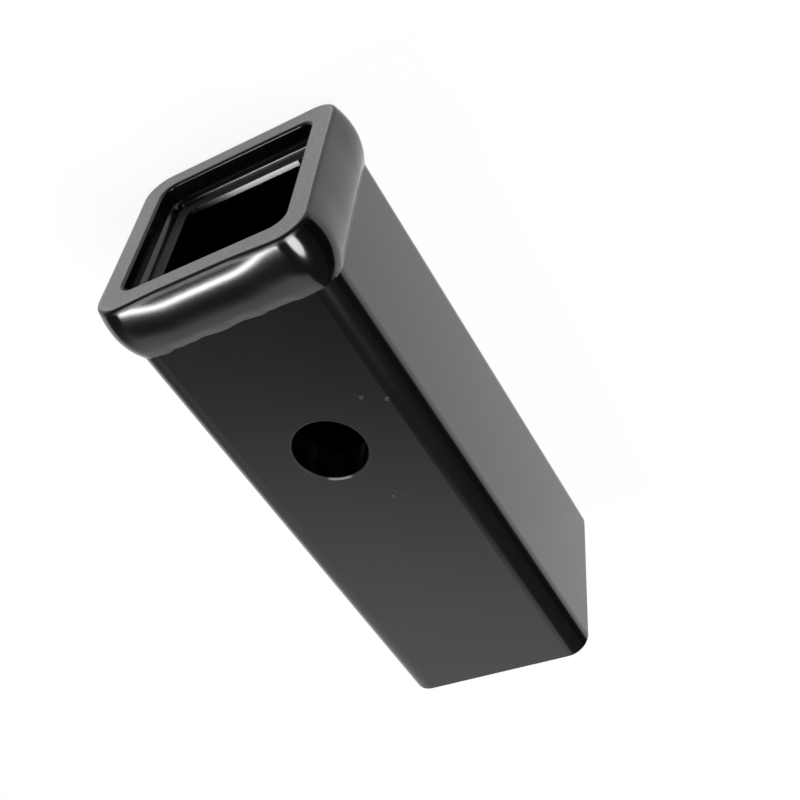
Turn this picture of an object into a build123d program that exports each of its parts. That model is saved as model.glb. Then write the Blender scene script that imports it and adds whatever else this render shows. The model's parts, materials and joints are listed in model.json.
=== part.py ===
"""Hitch reducer sleeve: a square shank with a lined socket and a collar welded round its mouth."""
import os
from math import asin, atan2, cos, degrees, hypot, pi

from build123d import *

# Shank, the outer tube that slides into the larger receiver
shank_width = 50.8
shank_wall = 4.76
shank_length = 142.9
shank_corner_radius = 5.6
shank_bore_radius = 3.6
mouth_edge_radius = 0.8
far_edge_chamfer = 0.4

# Liner, the inner tube that makes the socket for the smaller shank, with a slight flare to lead it in
liner_wall = 4.5
liner_recess = 5.6
liner_clearance = 0.1
liner_corner_relief = 0.4
socket_corner_radius = 2.0
lead_in_length = 1.15
lead_in_rise = 0.34

# Pin hole, through both tubes
pin_hole_diameter = 17.5
pin_from_front = 54.0
pin_edge_chamfer = 0.4

# Collar, a crowned band round the mouth, ground flush with it. Its front edge is lowest in the middle of
# each side and rises towards the corners, in a few steps with straight lines between them
collar_width = 12.4
collar_crown = 2.3
collar_rear_edge = 0.95
front_edge_at_middle = 0.9
front_edge_at_corner = 1.5
front_edge_radius = 1.1
front_edge_steps = 6

# Fillet weld behind the collar, which carries on its slope down to the shank
collar_weld_length = 1.85

# Fillet weld in front of the liner, a shallow ramp along the wall that then sweeps up the liner's end
liner_weld_length = 1.75
liner_weld_height = 1.4
liner_weld_ramp = 0.8
liner_weld_ramp_rise = 0.2

shank_bore = shank_width - 2 * shank_wall
liner_width = shank_bore - 2 * liner_clearance
liner_length = shank_length - liner_recess
liner_corner_radius = shank_bore_radius + liner_corner_relief
socket_width = liner_width - 2 * liner_wall
shank_half = shank_width / 2
collar_straight = shank_half - shank_corner_radius
rear_rise = collar_crown - collar_rear_edge
rear_crown_radius = ((collar_width / 2) ** 2 + rear_rise**2) / (2 * rear_rise)


def square_tube(width, wall, corner_radius, bore_radius, length):
    """A square tube that runs back along X from its front end in the YZ plane."""
    bore_width = width - 2 * wall
    outline = RectangleRounded(width, width, corner_radius)
    bore = RectangleRounded(bore_width, bore_width, bore_radius)
    return extrude(Plane.YZ * (outline - bore), -length)


def drill_pin_hole(tube):
    """Cut the pin hole down through the upper and lower walls."""
    drill = Cylinder(pin_hole_diameter / 2, 2 * shank_width)
    return tube - Pos(-pin_from_front, 0, 0) * drill


def round_corner(section, straight):
    """Turn a section, drawn over the end of the upper side's straight run, through a square's corner."""
    return revolve(section, Axis((0, straight, straight), (-1, 0, 0)), 90)


def on_four_sides(pieces):
    """One solid from the pieces of one side and corner, repeated round the tube."""
    return Part() + [Rot(90 * turn, 0, 0) * piece for turn in range(4) for piece in pieces]


def carry_round(section, straight):
    """Carry a section, drawn over the middle of the upper side, all the way round a square."""
    side = extrude(section, straight, both=True)
    corner = round_corner(Pos(0, straight, 0) * section, straight)
    return on_four_sides([side, corner])


def make_outer_tube():
    """The shank, eased at its mouth, its far end and the rims of its pin hole."""
    tube = square_tube(shank_width, shank_wall, shank_corner_radius, shank_bore_radius, shank_length)
    mouth = tube.faces().sort_by(Axis.X)[-1].inner_wires()[0]
    tube = fillet(mouth.edges(), mouth_edge_radius)
    far_end = tube.faces().sort_by(Axis.X)[0].outer_wire()
    tube = chamfer(far_end.edges(), far_edge_chamfer)
    tube = drill_pin_hole(tube)
    level_faces = tube.faces().filter_by(Plane.XY).sort_by(Axis.Z)
    rims = [edge for face in (level_faces[0], level_faces[-1]) for edge in face.inner_wires()[0].edges()]
    return chamfer(rims, pin_edge_chamfer)


def make_liner_tube():
    """The liner, set back from the mouth, flared in front and flush with the shank's far end."""
    tube = square_tube(liner_width, liner_wall, liner_corner_radius, socket_corner_radius, liner_length)
    flare_width = socket_width + 2 * lead_in_rise
    flare_front = Plane.YZ * RectangleRounded(flare_width, flare_width, socket_corner_radius + lead_in_rise)
    flare_back = Plane.YZ * RectangleRounded(socket_width, socket_width, socket_corner_radius)
    tube -= loft([flare_front, Pos(-lead_in_length, 0, 0) * flare_back], ruled=True)
    return drill_pin_hole(Pos(-liner_recess, 0, 0) * tube)


def collar_section(corner_share):
    """The collar's section over the upper side, at a share of the way from its middle to its corner."""
    corner_weight = (1 - cos(pi * corner_share)) / 2
    front_edge = front_edge_at_middle + (front_edge_at_corner - front_edge_at_middle) * corner_weight
    along_side = corner_share * collar_straight
    front_seat = (0, along_side, shank_half)
    front_top = (0, along_side, shank_half + front_edge)
    crown = (-collar_width / 2, along_side, shank_half + collar_crown)
    rear_top = (-collar_width, along_side, shank_half + collar_rear_edge)
    rear_seat = (-collar_width, along_side, shank_half)
    section = make_face(
        [
            Line(front_seat, front_top),
            TangentArc(crown, front_top, tangent=(1, 0, 0)),
            TangentArc(crown, rear_top, tangent=(-1, 0, 0)),
            Line(rear_top, rear_seat),
            Line(rear_seat, front_seat),
        ]
    )
    return fillet(section.vertices().sort_by_distance(front_top)[0], front_edge_radius)


def make_collar():
    """The crowned band, its front edge dipping along each side."""
    shares = [step / front_edge_steps for step in range(-front_edge_steps, front_edge_steps + 1)]
    side = loft([collar_section(share) for share in shares], ruled=True)
    corner = round_corner(collar_section(1), collar_straight)
    return on_four_sides([side, corner])


def make_collar_weld():
    """The weld that joins the collar's back to the shank."""
    root = Vector(-collar_width, 0, shank_half)
    toe = root + Vector(-collar_weld_length, 0, 0)
    top = root + Vector(0, 0, collar_rear_edge)
    crown_slope = Vector(rear_rise - rear_crown_radius, 0, -collar_width / 2)
    section = make_face([Line(root, toe), TangentArc(top, toe, tangent=crown_slope), Line(top, root)])
    return carry_round(section, collar_straight)


def make_liner_weld():
    """The weld that joins the liner's front end to the shank's inner wall."""
    root = Vector(-liner_recess, 0, shank_bore / 2)
    toe = root + Vector(liner_weld_length, 0, 0)
    ramp = Vector(-liner_weld_ramp, 0, -liner_weld_ramp_rise)
    top = root + Vector(0, 0, -liner_weld_height)
    ramp_line = Line(toe, toe + ramp)
    sweep_line = TangentArc(toe + ramp, top, tangent=ramp)
    section = make_face([Line(root, toe), ramp_line, sweep_line, Line(top, root)])
    return carry_round(section, shank_bore / 2 - shank_bore_radius)


def rest_tilt():
    """Degrees that the mouth is raised when the collar and the far end's lower edge both touch the ground."""
    run = shank_length - far_edge_chamfer - collar_width / 2
    rise = rear_crown_radius - collar_crown
    return degrees(asin(rear_crown_radius / hypot(run, rise)) - atan2(rise, run))


def lie_down(pieces):
    """Rest the sleeve on the ground, pin hole upwards, with the middle of its length over the origin."""
    raised = {name: Rot(0, -rest_tilt(), 0) * piece for name, piece in pieces.items()}
    box = Compound(list(raised.values())).bounding_box()
    settle = Pos(-(box.min.X + box.max.X) / 2, 0, -box.min.Z)
    return {name: settle * piece for name, piece in raised.items()}


level_sleeve = {
    "outer_tube": make_outer_tube(),
    "liner_tube": make_liner_tube(),
    "collar": make_collar(),
    "collar_weld": make_collar_weld(),
    "liner_weld": make_liner_weld(),
}

os.makedirs("parts", exist_ok=True)
for name, piece in lie_down(level_sleeve).items():
    export_step(piece, f"parts/{name}.step")
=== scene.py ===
"""A hitch reducer sleeve in black powder coat, lying on a pale studio floor."""
import json
import math

import bpy
from mathutils import Matrix, Vector, noise


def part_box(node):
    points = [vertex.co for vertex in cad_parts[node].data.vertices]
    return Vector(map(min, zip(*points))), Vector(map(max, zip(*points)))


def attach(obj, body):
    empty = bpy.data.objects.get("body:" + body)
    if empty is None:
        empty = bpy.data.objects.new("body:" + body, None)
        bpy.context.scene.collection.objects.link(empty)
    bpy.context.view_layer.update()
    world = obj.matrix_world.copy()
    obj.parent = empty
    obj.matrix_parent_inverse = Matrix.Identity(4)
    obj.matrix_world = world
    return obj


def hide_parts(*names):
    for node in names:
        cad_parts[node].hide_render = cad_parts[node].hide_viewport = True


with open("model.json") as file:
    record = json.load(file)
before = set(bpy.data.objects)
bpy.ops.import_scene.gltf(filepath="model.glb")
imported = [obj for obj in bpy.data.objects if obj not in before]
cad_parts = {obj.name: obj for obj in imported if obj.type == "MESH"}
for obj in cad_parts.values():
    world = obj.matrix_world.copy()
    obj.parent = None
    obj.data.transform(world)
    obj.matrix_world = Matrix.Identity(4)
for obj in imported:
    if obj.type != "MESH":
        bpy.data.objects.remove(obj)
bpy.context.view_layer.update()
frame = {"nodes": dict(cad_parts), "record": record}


# The shank, a square steel tube that slides into the larger receiver. It is cold-formed, so its long
# corners are round. All of it is powder coated, and its front is ground flush with the collar's. The rims
# of its hole carry a painted highlight with one painted glint, and its wall is darkened as painted shade.
def srgb(code):
    """The linear colour of an sRGB hex code."""
    channels = [int(code[i : i + 2], 16) / 255 for i in (1, 3, 5)]
    linear = [c / 12.92 if c <= 0.04045 else ((c + 0.055) / 1.055) ** 2.4 for c in channels]
    return (*linear, 1.0)


def add(tree, kind, inputs=None, **settings):
    """Add a node with its settings, each input being a value or the output that feeds it."""
    node = tree.nodes.new(kind)
    for name, value in settings.items():
        setattr(node, name, value)
    for name, value in (inputs or {}).items():
        if isinstance(value, bpy.types.NodeSocket):
            tree.links.new(value, node.inputs[name])
        else:
            node.inputs[name].default_value = value
    return node


def powder_coat(name, colour, roughness, peel_mm):
    """Powder that has melted and cured into a skin: dark, hard, slightly wavy and never evenly glossy."""
    material = bpy.data.materials.new(name)
    material.use_nodes = True
    tree = material.node_tree
    shader = tree.nodes["Principled BSDF"]
    place = add(tree, "ShaderNodeTexCoord").outputs["Object"]
    peel_depth_mm = 0.003
    peel = add(tree, "ShaderNodeTexNoise", {"Vector": place, "Scale": 1000 / peel_mm, "Detail": 2.0})
    bump = add(tree, "ShaderNodeBump", {"Height": peel.outputs["Fac"], "Distance": peel_depth_mm / 1000})
    drift_mm = 18
    drift = 0.03
    patches = add(tree, "ShaderNodeTexNoise", {"Vector": place, "Scale": 1000 / drift_mm, "Detail": 3.0})
    gloss = add(
        tree,
        "ShaderNodeMapRange",
        {"Value": patches.outputs["Fac"], "To Min": roughness - drift, "To Max": roughness + drift},
    )
    shader.inputs["Base Color"].default_value = srgb(colour)
    shader.inputs["IOR"].default_value = 1.5
    tree.links.new(gloss.outputs["Result"], shader.inputs["Roughness"])
    tree.links.new(bump.outputs["Normal"], shader.inputs["Normal"])
    return material


mounts = {mount["name"]: mount for mount in frame["record"]["mounts"]}
outward = Vector(mounts["socket"]["axis"])
liner_front = Vector(mounts["socket"]["pos_m"])
front_top = Vector(mounts["front_face"]["pos_m"])
mouth_centre = liner_front + outward * (front_top - liner_front).dot(outward)
# The places of a colour mix's three colour sockets
under_colour = 6
over_colour = 7
mixed_colour = 2


def grind_front(material, front, colour, roughness, dull_mm):
    """Grind a front through most of its coat: paler on the flat, and dull as far back as dull_mm."""
    tree = material.node_tree
    shader = tree.nodes["Principled BSDF"]
    place = add(tree, "ShaderNodeTexCoord").outputs["Object"]
    offset = add(tree, "ShaderNodeVectorMath", {0: place, 1: front}, operation="SUBTRACT")
    ahead = add(tree, "ShaderNodeVectorMath", {0: offset.outputs[0], 1: outward}, operation="DOT_PRODUCT")
    flat_mm = (0.06, 0.01)
    flat, dull = (
        add(
            tree,
            "ShaderNodeMapRange",
            {"Value": ahead.outputs["Value"], "From Min": -deep / 1000, "From Max": -shallow / 1000},
            interpolation_type="SMOOTHSTEP",
        ).outputs["Result"]
        for deep, shallow in (flat_mm, dull_mm)
    )
    # The real grinding marks are too fine to show, so they are drawn as grit a few times coarser
    grit_mm = 0.7
    grit = add(tree, "ShaderNodeTexNoise", {"Vector": place, "Scale": 1000 / grit_mm, "Detail": 3.0})
    patchy = add(
        tree,
        "ShaderNodeMapRange",
        {"Value": grit.outputs["Fac"], "From Min": 0.3, "From Max": 0.7, "To Min": 0.75, "To Max": 1.0},
    )
    worn = add(tree, "ShaderNodeMath", {0: flat, 1: patchy.outputs["Result"]}, operation="MULTIPLY")
    coat_colour = shader.inputs["Base Color"].default_value[:]
    paler = add(
        tree,
        "ShaderNodeMix",
        {0: worn.outputs[0], under_colour: coat_colour, over_colour: srgb(colour)},
        data_type="RGBA",
    )
    coat_gloss = shader.inputs["Roughness"].links[0].from_socket
    duller = add(tree, "ShaderNodeMapRange", {"Value": dull, "To Min": coat_gloss, "To Max": roughness})
    tree.links.new(paler.outputs[mixed_colour], shader.inputs["Base Color"])
    tree.links.new(duller.outputs["Result"], shader.inputs["Roughness"])


def paint_pin_hole_light_and_shade(material, rim_highlight_colour, glint_spot_colour, wall_shade_colour):
    """Paint the rims of the pin hole paler as a painted highlight, with one painted glint, and its wall black
    as painted shade.
    """
    pin_hole = mounts["pin_hole"]
    radius_mm = pin_hole["dims"]["r_mm"]
    tree = material.node_tree
    shader = tree.nodes["Principled BSDF"]
    place = add(tree, "ShaderNodeTexCoord").outputs["Object"]
    offset = add(tree, "ShaderNodeVectorMath", {0: place, 1: pin_hole["pos_m"]}, operation="SUBTRACT")
    aside = add(
        tree,
        "ShaderNodeVectorMath",
        {0: offset.outputs[0], 1: pin_hole["axis"]},
        operation="CROSS_PRODUCT",
    )
    reach = add(tree, "ShaderNodeVectorMath", {0: aside.outputs[0]}, operation="LENGTH").outputs["Value"]
    grit_mm = 2.5
    grit = add(tree, "ShaderNodeTexNoise", {"Vector": place, "Scale": 1000 / grit_mm, "Detail": 2.0})
    patchy = add(tree, "ShaderNodeMapRange", {"Value": grit.outputs["Fac"], "From Min": 0.3, "To Min": 0.6})
    # The painted glint is a pale spot on the upper rim, at the back, given from the middle of the hole
    glint_spot_up_mm = 25.2
    glint_spot_behind_mm = 8.7
    glint_spot_aside_mm = 2.2
    glint_spot_mm = (3.4, 2.04)
    glint_spot = Vector(pin_hole["axis"]) * glint_spot_up_mm - outward * glint_spot_behind_mm
    glint_spot += Vector((0, glint_spot_aside_mm, 0))
    glint_spot_at = Vector(pin_hole["pos_m"]) + glint_spot / 1000
    from_glint_spot = add(tree, "ShaderNodeVectorMath", {0: place, 1: glint_spot_at}, operation="DISTANCE")
    faint_from, solid_from = (radius / 1000 for radius in glint_spot_mm)
    glint_spot_share = add(
        tree,
        "ShaderNodeMapRange",
        {"Value": from_glint_spot.outputs["Value"], "From Min": faint_from, "From Max": solid_from},
        interpolation_type="SMOOTHSTEP",
    )
    rim_mm = 0.4
    blend_mm = 0.12
    # Pale rims are a painted highlight, the pale spot a painted glint, and the black wall painted shade
    for outer_mm, colour, patches in (
        (radius_mm + rim_mm, rim_highlight_colour, patchy),
        (radius_mm + rim_mm, glint_spot_colour, glint_spot_share),
        (radius_mm, wall_shade_colour, None),
    ):
        share = add(
            tree,
            "ShaderNodeMapRange",
            {"Value": reach, "From Min": (outer_mm + blend_mm) / 1000, "From Max": outer_mm / 1000},
            interpolation_type="SMOOTHSTEP",
        ).outputs["Result"]
        if patches:
            both = add(tree, "ShaderNodeMath", {0: share, 1: patches.outputs["Result"]}, operation="MULTIPLY")
            share = both.outputs[0]
        coat_colour = shader.inputs["Base Color"].links[0].from_socket
        painted = add(
            tree,
            "ShaderNodeMix",
            {0: share, under_colour: coat_colour, over_colour: srgb(colour)},
            data_type="RGBA",
        )
        tree.links.new(painted.outputs[mixed_colour], shader.inputs["Base Color"])


# A semi-gloss coat mirrors the room softly, so the flat faces look dark grey and the round corners black
shank_coat = powder_coat("semi_gloss_black_powder_coat", "#0c0c0d", roughness=0.18, peel_mm=2.2)
grind_front(shank_coat, mouth_centre, "#959595", roughness=0.42, dull_mm=(0.7, 0.2))
# A painted highlight and a painted glint on the pin hole's rims, and painted shade on its wall
paint_pin_hole_light_and_shade(shank_coat, rim_highlight_colour="#3c3c3c", glint_spot_colour="#848484", wall_shade_colour="#020202")
frame["nodes"]["outer_tube"].material_slots[0].material = shank_coat

# Nibs, low lumps on the shank's upper face, where grains of powder clumped before the coat cured. Each
# is given by its place behind the mouth and across, its radius and its height.
nibs_mm = (
    (43.0, -14.5, 0.55, 0.10),
    (45.6, -19.4, 0.60, 0.12),
    (72.5, -6.3, 0.60, 0.24),
    (70.9, -7.6, 0.30, 0.12),
    (73.2, -8.6, 0.40, 0.08),
)
unevenness = 0.25
shank_half_mm = (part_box("outer_tube")[1][1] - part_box("outer_tube")[0][1]) * 1000 / 2
axes = Matrix((outward, (0, 1, 0), outward.cross((0, 1, 0)))).transposed().to_4x4()
lying = Matrix.Translation(mouth_centre) @ axes
lumps = []
for number, (behind, across, radius, height) in enumerate(nibs_mm):
    bpy.ops.object.select_all(action="DESELECT")
    bpy.ops.mesh.primitive_uv_sphere_add(segments=16, ring_count=10, radius=1)
    bpy.ops.object.mode_set(mode="EDIT")
    bpy.ops.transform.resize(value=(radius / 1000, radius / 1000, height / 1000))
    bpy.ops.transform.vertex_random(offset=unevenness * height / 1000, seed=number)
    bpy.ops.object.mode_set(mode="OBJECT")
    lump = bpy.context.object
    lump.data.transform(lying @ Matrix.Translation(Vector((-behind, across, shank_half_mm)) / 1000))
    lumps.append(lump)
bpy.ops.object.select_all(action="DESELECT")
for lump in lumps:
    lump.select_set(True)
bpy.ops.object.join()
nibs = bpy.context.object
nibs.name = "powder_nibs"
bpy.ops.object.shade_smooth()
# Half-melted powder is duller and a little paler than the skin round it, so the nibs show as specks
nib_coat = powder_coat("dusty_powder_nib", "#1e1e1e", roughness=0.35, peel_mm=2.2)
nibs.data.materials.append(nib_coat)
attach(nibs, "root")


# The collar, a crowned steel bar bent round the mouth and ground flush with it, and the weld that fixes it
# behind. The bar is flatter in the middle of each side and fuller at the corners, where bending has bulged
# it. Both are under one coat, so they are one piece, carried round from a section that changes all the way.
def stations_round(straight):
    """Stations round a square: the side, the way along it and the angle turned at its corner."""
    side_steps = 40
    corner_steps = 14
    on_side = [(2 * step / side_steps * straight - straight, 0.0) for step in range(side_steps)]
    on_corner = [(straight, math.pi / 2 * step / corner_steps) for step in range(corner_steps)]
    return [(side, along, angle) for side in range(4) for along, angle in on_side + on_corner]


def carry_round(name, outlines, straight, corner_radius, inwards=False):
    """Close a ring round the mouth through an outline of (behind, proud) points for each station, in mm."""
    points = []
    for (side, along, angle), outline in zip(stations_round(straight), outlines):
        to_side = Matrix.Rotation(-side * math.pi / 2, 3, "X")
        for behind, proud in outline:
            reach = corner_radius + (-proud if inwards else proud)
            across = along + reach * math.sin(angle)
            height = straight + reach * math.cos(angle)
            points.append(lying @ (to_side @ Vector((-behind, across, height)) / 1000))
    size = len(outlines[0])
    faces = []
    for station in range(len(outlines)):
        this = station * size
        following = (station + 1) % len(outlines) * size
        for point in range(size):
            after = (point + 1) % size
            faces.append([this + point, following + point, following + after, this + after])
    mesh = bpy.data.meshes.new(name)
    mesh.from_pydata(points, [], faces)
    ring = bpy.data.objects.new(name, mesh)
    bpy.context.scene.collection.objects.link(ring)
    bpy.ops.object.select_all(action="DESELECT")
    ring.select_set(True)
    bpy.context.view_layer.objects.active = ring
    bpy.ops.object.mode_set(mode="EDIT")
    bpy.ops.mesh.select_all(action="SELECT")
    bpy.ops.mesh.normals_make_consistent(inside=False)
    bpy.ops.object.mode_set(mode="OBJECT")
    sharp_from_deg = 50
    bpy.ops.object.shade_smooth_by_angle(angle=math.radians(sharp_from_deg))
    return ring


def between(first, second, share):
    """The value at a share of the way from the first to the second."""
    return first + (second - first) * share


# Pairs run from the middle of a side to its corner, but the front edge rises only to the corners of the
# pin hole's side. The seat is sunk a little into the shank, so that no gap shows under either edge.
collar_proud_mm = (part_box("collar")[1][1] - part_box("collar")[0][1]) * 1000 / 2 - shank_half_mm
side_dip_mm = 0.35
crown_mm = (collar_proud_mm - side_dip_mm, collar_proud_mm)
crown_behind_mm = (7.9, 7.0)
front_edge_mm = (0.85, 1.68)
front_edge_radius_mm = 0.9
rear_radius_mm = (28, 15)
rear_steepening = (0.0019, 0.0)
flat_share = 0.4
shank_corner_mm = 5.6
seat_mm = -0.05
weld_from_mm = 12.0
toe_mm = 14.75
toe_bank_mm = 0.25
toe_bank_length_mm = 0.06
toe_slope = -0.5
ripple_mm = 0.4
ripple_length_mm = 5
fine_ripple_mm = 0.2
fine_ripple_length_mm = 2
fine_ripple_row = 7
edge_steps = 7
crown_steps = 16
weld_steps = 10


def crown_outline(bulge, front_rise):
    """The collar from its front seat, round its front edge and over its crown, with the slope it ends in."""
    top = between(*crown_mm, bulge)
    apex = between(*crown_behind_mm, bulge)
    front_drop = top - between(*front_edge_mm, front_rise)
    front_radius = (apex**2 + front_drop**2) / (2 * front_drop)
    rear_radius = between(*rear_radius_mm, bulge)
    steepening = between(*rear_steepening, bulge)
    edge = front_edge_radius_mm
    lean = math.asin((apex - edge) / front_radius)
    edge_top = top - front_radius * (1 - math.cos(lean))
    points = [(0.0, seat_mm)]
    for step in range(edge_steps):
        angle = (math.pi / 2 - lean) * step / edge_steps
        points.append((edge - edge * math.cos(angle), edge_top - edge * (1 - math.sin(angle))))
    for step in range(crown_steps + 1):
        behind = between(edge, weld_from_mm, step / crown_steps)
        past = behind - apex
        if past < 0:
            drop = front_radius - math.sqrt(front_radius**2 - past**2)
        else:
            drop = past**2 / (2 * rear_radius) + steepening * past**3
        points.append((behind, top - drop))
    end_slope = -past / rear_radius - 3 * steepening * past**2
    return points, end_slope


def weld_outline(height, slope, travelled):
    """The weld from the crown's end, which it carries on, down to a toe that wanders as it was laid."""
    ripple = noise.noise(Vector((travelled / ripple_length_mm, 0, 0)))
    fine_ripple = noise.noise(Vector((travelled / fine_ripple_length_mm, fine_ripple_row, 0)))
    toe = toe_mm + ripple_mm * ripple + fine_ripple_mm * fine_ripple
    length = toe - weld_from_mm
    points = []
    for step in range(1, weld_steps + 1):
        # A cubic curve that leaves the crown at its slope and comes to the toe at the toe's
        share = step / weld_steps
        crown_weight = 2 * share**3 - 3 * share**2 + 1
        crown_pull = share**3 - 2 * share**2 + share
        toe_pull = share**3 - share**2
        level = height * crown_weight + toe_bank_mm * (1 - crown_weight)
        level += length * (slope * crown_pull + toe_slope * toe_pull)
        points.append((weld_from_mm + length * share, level))
    return points + [(toe + toe_bank_length_mm, seat_mm)]


collar_straight_mm = shank_half_mm - shank_corner_mm
pin_side = 0
side_before_it = 3
collar_outlines = []
for side, along, angle in stations_round(collar_straight_mm):
    bent = min(max((abs(along) / collar_straight_mm - flat_share) / (1 - flat_share), 0.0), 1.0)
    bulge = bent * bent * (3 - 2 * bent)
    turned = 2 * angle / math.pi
    if side == pin_side:
        front_rise = 1 - turned if angle else bulge
    elif side == side_before_it:
        front_rise = turned
    else:
        front_rise = 0.0
    crown, end_slope = crown_outline(bulge, front_rise)
    end_height = crown[-1][1]
    travelled = side * 4 * shank_half_mm + along + angle * shank_half_mm
    collar_outlines.append(crown + weld_outline(end_height, end_slope, travelled))
collar = carry_round("crowned_collar", collar_outlines, collar_straight_mm, shank_corner_mm)
# The glossier coat on the curved bar draws the lamps out into a long streak and small round glints
collar_coat = powder_coat("glossy_black_powder_coat", "#08080a", roughness=0.14, peel_mm=3.0)
grind_front(collar_coat, mouth_centre, "#959595", roughness=0.3, dull_mm=(1.6, 0.7))
collar.data.materials.append(collar_coat)
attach(collar, "root")
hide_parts("collar", "collar_weld")

# The liner, a second square tube inside the first, which makes the socket for the smaller shank. Little
# powder reaches the inside, and its sawn front has worn a little.
# A thin coat over smooth steel mirrors the dark of the socket, and only the front shows as a grey edge
liner_coat = powder_coat("thin_black_powder_coat", "#060606", roughness=0.14, peel_mm=2.5)
grind_front(liner_coat, liner_front, "#404040", roughness=0.3, dull_mm=(0.06, 0.01))
frame["nodes"]["liner_tube"].material_slots[0].material = liner_coat

# The liner's weld, a full round bead between the liner's front and the shank's inner wall. It was laid
# before the coating, so it is black too, and shows only as a thin light line where it mirrors a lamp.
shank_wall_mm = 4.76
bore_corner_mm = 3.6
bead_radius_mm = 1.75
bead_from_mm = 3.86
bead_to_mm = 5.65
bead_sunk_mm = 0.02
bead_slopes_deg = (70, -3)
bead_steps = 12
steepest, flattest = (math.radians(slope) for slope in bead_slopes_deg)
bead_outline = []
for step in range(bead_steps + 1):
    slope = between(steepest, flattest, step / bead_steps)
    behind = bead_from_mm + bead_radius_mm * (math.sin(steepest) - math.sin(slope))
    proud = bead_radius_mm * (math.cos(slope) - math.cos(steepest)) - bead_sunk_mm
    bead_outline.append((behind, proud))
bead_outline += [(bead_to_mm, seat_mm), (bead_from_mm, seat_mm)]
bore_straight_mm = shank_half_mm - shank_wall_mm - bore_corner_mm
bead_outlines = [bead_outline for _ in stations_round(bore_straight_mm)]
bead = carry_round("liner_bead", bead_outlines, bore_straight_mm, bore_corner_mm, inwards=True)
# Powder over a weld's ripples cures less smooth than over flat steel
weld_coat = powder_coat("coated_weld", "#0a0a0a", roughness=0.2, peel_mm=2.0)
bead.data.materials.append(weld_coat)
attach(bead, "root")
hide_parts("liner_weld")

# The studio floor, a wide sheet of matt white paper. The camera sees it nearly white, but for the sleeve's
# own faint shadow, and the coat mirrors it a little dimmer.
floor_side = 6.0
seen_white = 0.92
mirrored_white = 0.7
bpy.ops.object.select_all(action="DESELECT")
bpy.ops.mesh.primitive_plane_add(size=floor_side)
floor = bpy.context.object
floor.name = "studio_floor"
paper = bpy.data.materials.new("matt_white_paper")
paper.use_nodes = True
tree = paper.node_tree
tree.nodes.clear()
rays = add(tree, "ShaderNodeLightPath").outputs
mirrored = add(
    tree,
    "ShaderNodeMath",
    {0: rays["Is Glossy Ray"], 1: rays["Is Transmission Ray"]},
    operation="MAXIMUM",
)
to_camera = add(tree, "ShaderNodeMath", {0: rays["Is Camera Ray"], 1: seen_white}, operation="MULTIPLY")
to_coat = add(tree, "ShaderNodeMath", {0: mirrored.outputs[0], 1: mirrored_white}, operation="MULTIPLY")
glow = add(tree, "ShaderNodeMath", {0: to_camera.outputs[0], 1: to_coat.outputs[0]}, operation="MAXIMUM")
matt = add(tree, "ShaderNodeBsdfDiffuse", {"Color": srgb("#e8e8e8")})
white = add(tree, "ShaderNodeEmission", {"Color": srgb("#ffffff"), "Strength": 1.0})
both = add(tree, "ShaderNodeMixShader", {0: glow.outputs[0], 1: matt.outputs[0], 2: white.outputs[0]})
add(tree, "ShaderNodeOutputMaterial", {"Surface": both.outputs[0]})
floor.data.materials.append(paper)

# A low flag of black felt on the right, out of the picture. The round edge between the upper and the
# right face mirrors it, and so stays dark. It casts no shadow.
flag_centre = (0.0, -0.115, 0.035)
flag_length = 0.9
flag_height = 0.07
bpy.ops.object.select_all(action="DESELECT")
bpy.ops.mesh.primitive_plane_add(size=1)
flag = bpy.context.object
flag.name = "dark_flag"
flag.data.transform(Matrix.Diagonal((flag_length, flag_height, 1, 1)))
flag.data.transform(Matrix.Translation(flag_centre) @ Matrix.Rotation(math.pi / 2, 4, "X"))
felt = bpy.data.materials.new("black_felt")
felt.use_nodes = True
felt_shader = felt.node_tree.nodes["Principled BSDF"]
felt_shader.inputs["Base Color"].default_value = srgb("#050505")
felt_shader.inputs["Roughness"].default_value = 0.9
felt_shader.inputs["Specular IOR Level"].default_value = 0.0
flag.data.materials.append(felt)
flag.visible_camera = False
flag.visible_shadow = False


# The lamps, three softboxes over the mouth, which light the sleeve at a plain level. Each is given by its
# direction from the top of the mouth, its width along the sleeve, its depth and its radiance.
def softbox(name, towards, width, depth, radiance, shape="RECTANGLE"):
    """A flat lamp, level along the sleeve, that faces the mouth. A mirror would show it at its radiance."""
    distance = 1.15
    lamp = bpy.data.lights.new(name, "AREA")
    lamp.shape = shape
    lamp.size = width
    lamp.size_y = depth
    filled = math.pi / 4 if shape == "ELLIPSE" else 1
    lamp.energy = radiance * math.pi * filled * width * depth
    holder = bpy.data.objects.new(name, lamp)
    bpy.context.scene.collection.objects.link(holder)
    back = Vector(towards).normalized()
    across = (Vector((1, 0, 0)) - back * back.x).normalized()
    turn = Matrix((across, back.cross(across), back)).transposed().to_4x4()
    holder.matrix_world = Matrix.Translation(front_top + back * distance) @ turn
    holder.visible_camera = False


# The streak along the collar's crown
softbox("left_softbox", (-0.147, 0.475, 0.865), width=0.065, depth=0.34, radiance=44)
# The oval glint on the collar's nearest corner
softbox("right_softbox", (-0.10, -0.43, 0.90), width=0.60, depth=0.56, radiance=18, shape="ELLIPSE")
# The lines along the liner's edge and its weld
softbox("mouth_softbox", (0.185, 0.40, 0.89), width=0.24, depth=0.12, radiance=24)

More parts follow.
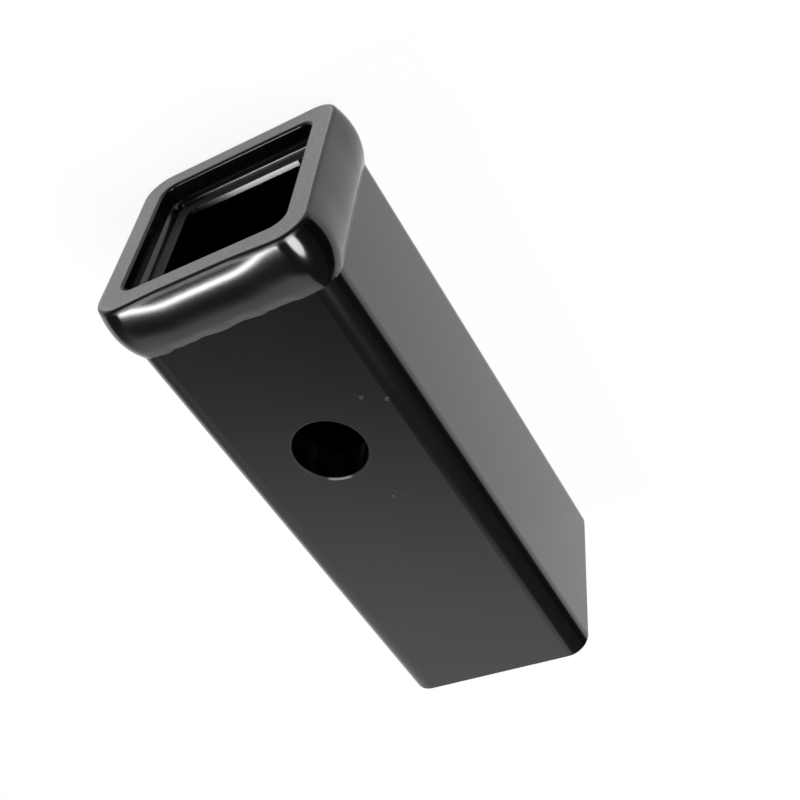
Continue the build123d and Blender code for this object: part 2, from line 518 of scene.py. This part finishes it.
# The room, dim but for a pale wall behind on the left, from the horizon to part of the way up. The shank's
# upper face and the collar's weld mirror that wall, so they are greyer than what mirrors the dim part.
dim_strength = 0.06
wall_strength = 1.12
wall_rises_to = (0.795, 0.62)
wall_turns_deg = (104, 146)
studio = bpy.data.worlds.new("dim_studio")
bpy.context.scene.world = studio
studio.use_nodes = True
tree = studio.node_tree
tree.nodes.clear()
facing = add(tree, "ShaderNodeTexCoord").outputs["Generated"]
part = add(tree, "ShaderNodeSeparateXYZ", {0: facing}).outputs
azimuth = add(tree, "ShaderNodeMath", {0: part["Y"], 1: part["X"]}, operation="ARCTAN2").outputs[0]
turns_from, turns_to = (math.radians(turn) for turn in wall_turns_deg)
low, behind_left = (
    add(
        tree,
        "ShaderNodeMapRange",
        {"Value": value, "From Min": off_at, "From Max": on_at},
        interpolation_type="SMOOTHSTEP",
    ).outputs["Result"]
    for value, off_at, on_at in ((part["Z"], *wall_rises_to), (azimuth, turns_from, turns_to))
)
wall = add(tree, "ShaderNodeMath", {0: low, 1: behind_left}, operation="MULTIPLY").outputs[0]
strength = add(tree, "ShaderNodeMapRange", {"Value": wall, "To Min": dim_strength, "To Max": wall_strength})
room = add(tree, "ShaderNodeBackground", {"Color": srgb("#ffffff"), "Strength": strength.outputs["Result"]})
paper_white = add(tree, "ShaderNodeBackground", {"Color": srgb("#ffffff"), "Strength": 1.0})
seen = add(tree, "ShaderNodeLightPath").outputs["Is Camera Ray"]
both = add(tree, "ShaderNodeMixShader", {0: seen, 1: room.outputs[0], 2: paper_white.outputs[0]})
add(tree, "ShaderNodeOutputWorld", {"Surface": both.outputs[0]})

# The camera, fitted to the outline in the photograph. It looks down at the mouth from close by, and its
# shift sets the sleeve in the picture as the photograph does.
picture_side = 800
focal_px = 1194.06
centre_px = (357.83, 430.15)
camera_place = (0.161084, -0.11725, 0.24657)
camera_turn_deg = (-41.9953, 7.0221, -119.7526)
lens = bpy.data.cameras.new("camera")
lens.sensor_width = 36
lens.lens = focal_px / picture_side * lens.sensor_width
lens.shift_x = (picture_side / 2 - centre_px[0]) / picture_side
lens.shift_y = (centre_px[1] - picture_side / 2) / picture_side
lens.clip_start = 0.01
camera = bpy.data.objects.new("camera", lens)
bpy.context.scene.collection.objects.link(camera)
camera.location = camera_place
camera.rotation_euler = [math.radians(turn) for turn in camera_turn_deg]
bpy.context.scene.camera = camera
bpy.context.scene.view_settings.view_transform = "Standard"
